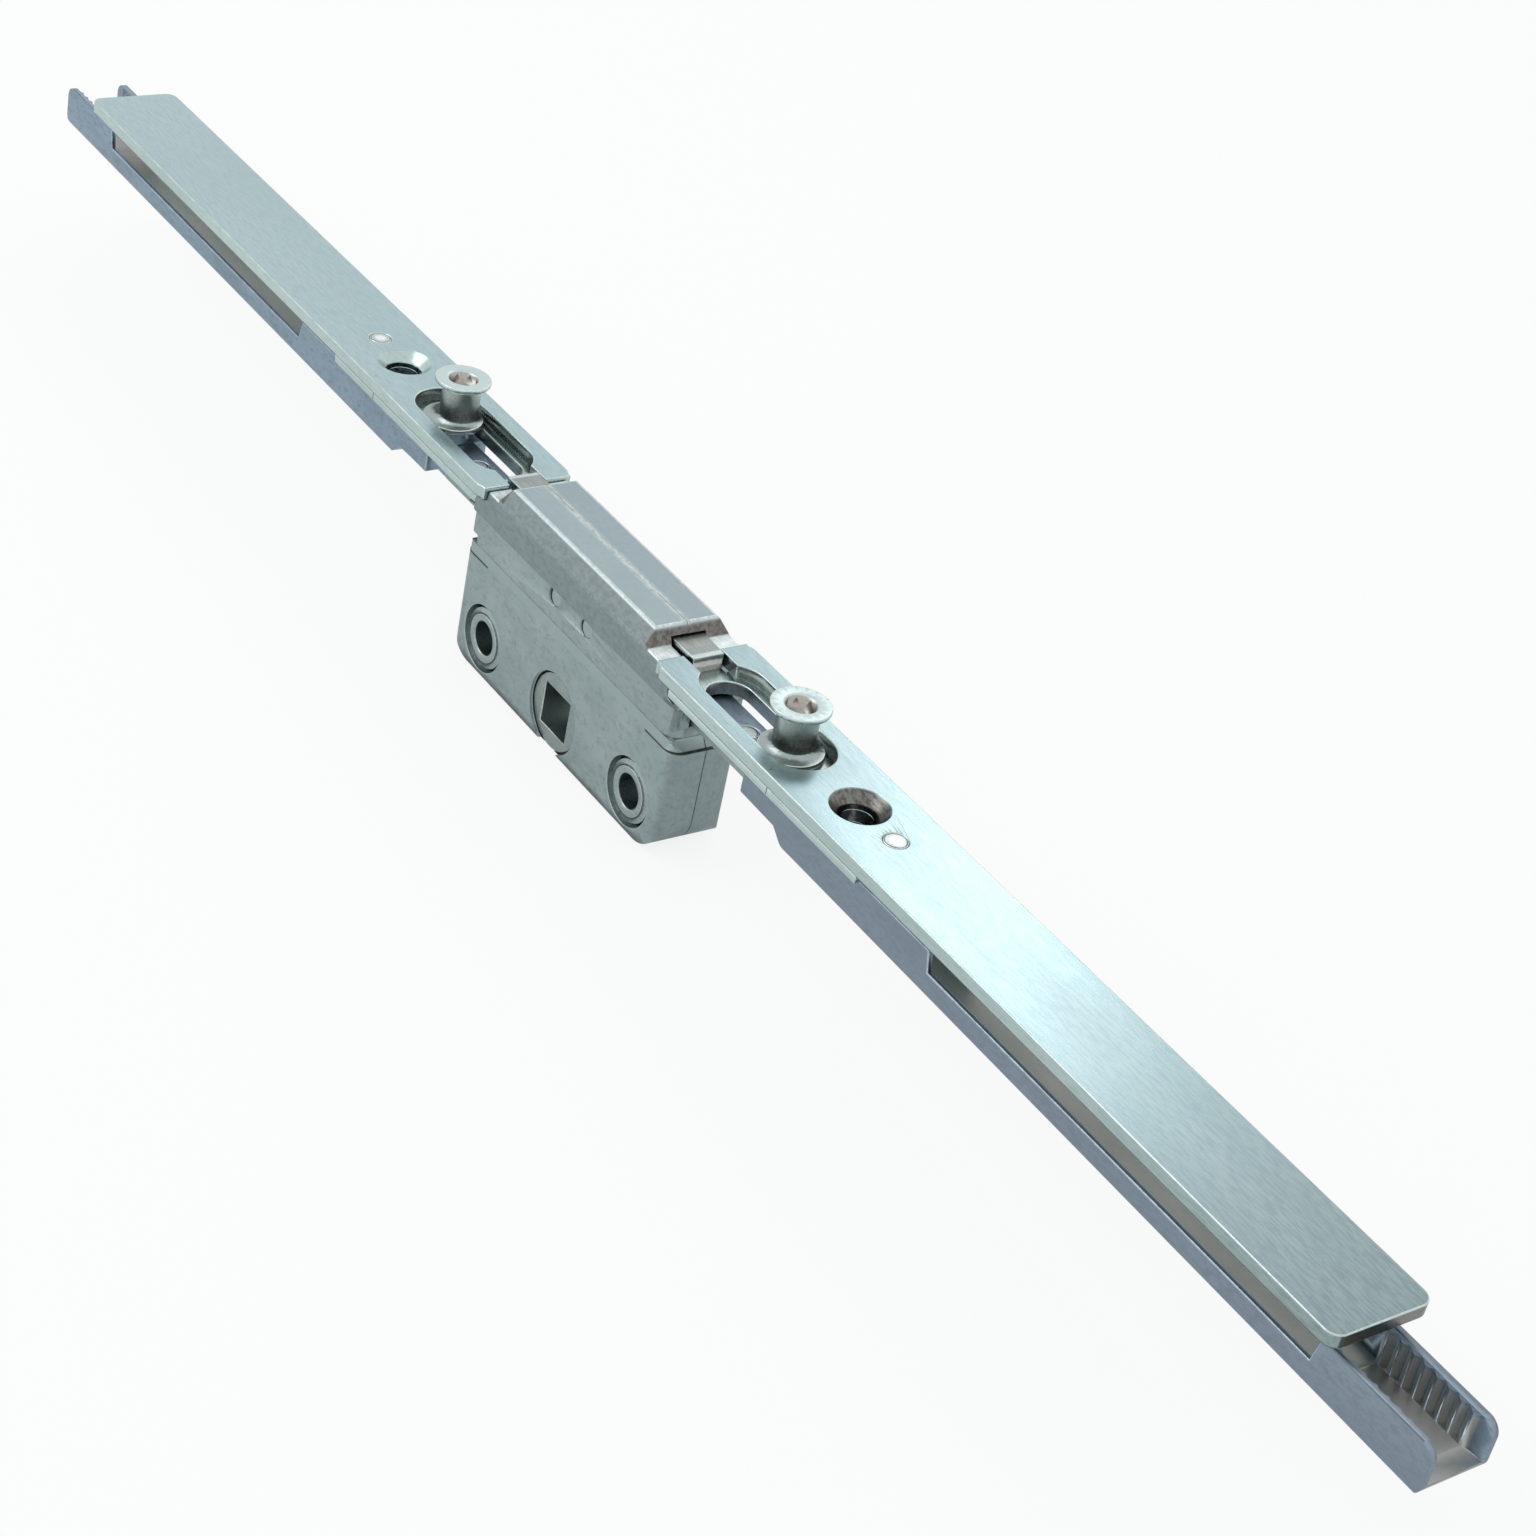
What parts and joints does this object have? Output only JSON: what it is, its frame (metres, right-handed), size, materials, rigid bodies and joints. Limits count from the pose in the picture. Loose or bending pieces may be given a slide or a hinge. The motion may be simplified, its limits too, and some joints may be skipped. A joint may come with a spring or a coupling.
{
  "type": "window espagnolette gearbox",
  "caption": "Geared window espagnolette: a square spindle socket drives opposed sliding arms with roller cams and serrated ends.",
  "frame": {"origin": "centre of the square spindle socket, halfway through the case", "axes": "+X along the right arm, +Y from the handle side to the rear, +Z from the spindle to the faceplate"},
  "size_m": [0.368, 0.016, 0.0366],
  "materials": {
    "cast_zinc_case": "tumbled zinc casting, satin, grey-green",
    "cast_zinc_slide": "zinc casting, satin, bluish grey",
    "plated_steel": "zinc plated steel, satin with lengthwise streaks",
    "turned_steel": "turned and plated steel",
    "sintered_steel": "sintered steel, matt"
  },
  "bodies": {
    "case": {"case_front": "cast_zinc_case", "case_rear": "cast_zinc_case", "bush_left": "turned_steel", "bush_right": "turned_steel", "idler_pin_left": "turned_steel", "idler_pin_right": "turned_steel", "strip_left": "plated_steel", "strip_right": "plated_steel", "faceplate_left": "plated_steel", "faceplate_right": "plated_steel", "faceplate_rivet_left": "turned_steel", "faceplate_rivet_right": "turned_steel"},
    "spindle_hub": {"spindle_hub": "sintered_steel"},
    "idler_left": {"idler_left": "sintered_steel"},
    "idler_right": {"idler_right": "sintered_steel"},
    "drive_left": {"rack_left": "sintered_steel", "slide_left": "cast_zinc_slide", "slide_rivet_left": "turned_steel"},
    "drive_right": {"rack_right": "sintered_steel", "slide_right": "cast_zinc_slide", "slide_rivet_right": "turned_steel"},
    "cam_left": {"cam_stud_left": "turned_steel"},
    "cam_right": {"cam_stud_right": "turned_steel"},
    "roller_left": {"cam_roller_left": "turned_steel"},
    "roller_right": {"cam_roller_right": "turned_steel"}
  },
  "joints": [
    {"name": "spindle_turn", "type": "hinge", "parent": "case", "child": "spindle_hub", "pos_m": [0, 0, 0], "axis": [0, 1, 0], "range_deg": [0, 90]},
    {"name": "left_slide", "type": "slide", "parent": "case", "child": "drive_left", "axis": [1, 0, 0], "range_m": [0, 0.01414]},
    {"name": "right_slide", "type": "slide", "parent": "case", "child": "drive_right", "axis": [-1, 0, 0], "range_m": [0, 0.01414]},
    {"name": "left_idler_spin", "type": "hinge", "parent": "case", "child": "idler_left", "pos_m": [-0.0045, 0, 0.0177], "axis": [0, 1, 0], "range_deg": [-252, 0]},
    {"name": "right_idler_spin", "type": "hinge", "parent": "case", "child": "idler_right", "pos_m": [0.0045, 0, 0.0177], "axis": [0, 1, 0], "range_deg": [-252, 0]},
    {"name": "left_cam_adjust", "type": "hinge", "parent": "drive_left", "child": "cam_left", "pos_m": [-0.048, 0, 0.025], "axis": [0, 0, 1], "continuous": true},
    {"name": "right_cam_adjust", "type": "hinge", "parent": "drive_right", "child": "cam_right", "pos_m": [0.048, 0, 0.025], "axis": [0, 0, 1], "continuous": true},
    {"name": "left_roller_spin", "type": "hinge", "parent": "cam_left", "child": "roller_left", "pos_m": [-0.048, 0.0009, 0.0265], "axis": [0, 0, 1], "continuous": true},
    {"name": "right_roller_spin", "type": "hinge", "parent": "cam_right", "child": "roller_right", "pos_m": [0.04736, 0.00064, 0.0265], "axis": [0, 0, 1], "continuous": true}
  ],
  "couplings": [
    {"joint": "spindle_turn", "follows": "left_slide", "rad_per_m": 111.11},
    {"joint": "right_slide", "follows": "left_slide", "ratio": 1},
    {"joint": "left_idler_spin", "follows": "left_slide", "rad_per_m": -310.28},
    {"joint": "right_idler_spin", "follows": "left_slide", "rad_per_m": -310.28}
  ]
}
